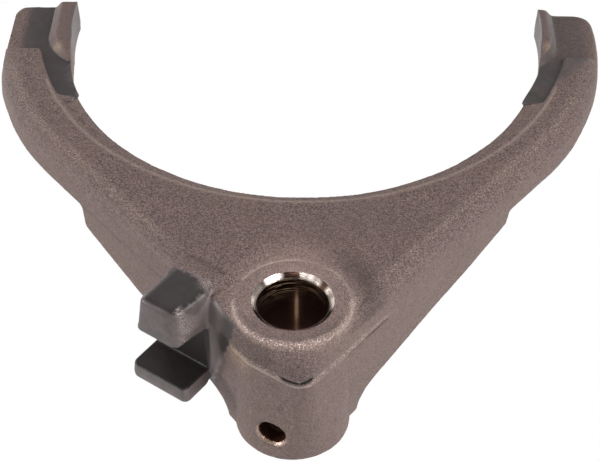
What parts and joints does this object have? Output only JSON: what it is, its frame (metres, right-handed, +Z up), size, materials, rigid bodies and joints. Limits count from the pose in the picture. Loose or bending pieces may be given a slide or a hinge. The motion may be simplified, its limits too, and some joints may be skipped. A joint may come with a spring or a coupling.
{
  "type": "gearbox shift fork",
  "caption": "Forged gearbox shift fork: rail hub with a selector claw and curved arms whose machined pads slide a synchroniser or clutch sleeve.",
  "frame": {"origin": "axis of the shift rail's bore in the forging's parting plane, 7.5 mm below the top face of the hub", "axes": "+Z up the rail bore and away from the hub's foot, +Y from the bore to the sleeve's axis between the arms, +X to the side away from the claw"},
  "size_m": [0.1562, 0.1295, 0.0386],
  "materials": {
    "forged_steel": "rough shot-blasted forging skin, brownish grey, with smooth machined faces"
  },
  "bodies": {
    "root": {"fork": "forged_steel"}
  },
  "joints": []
}
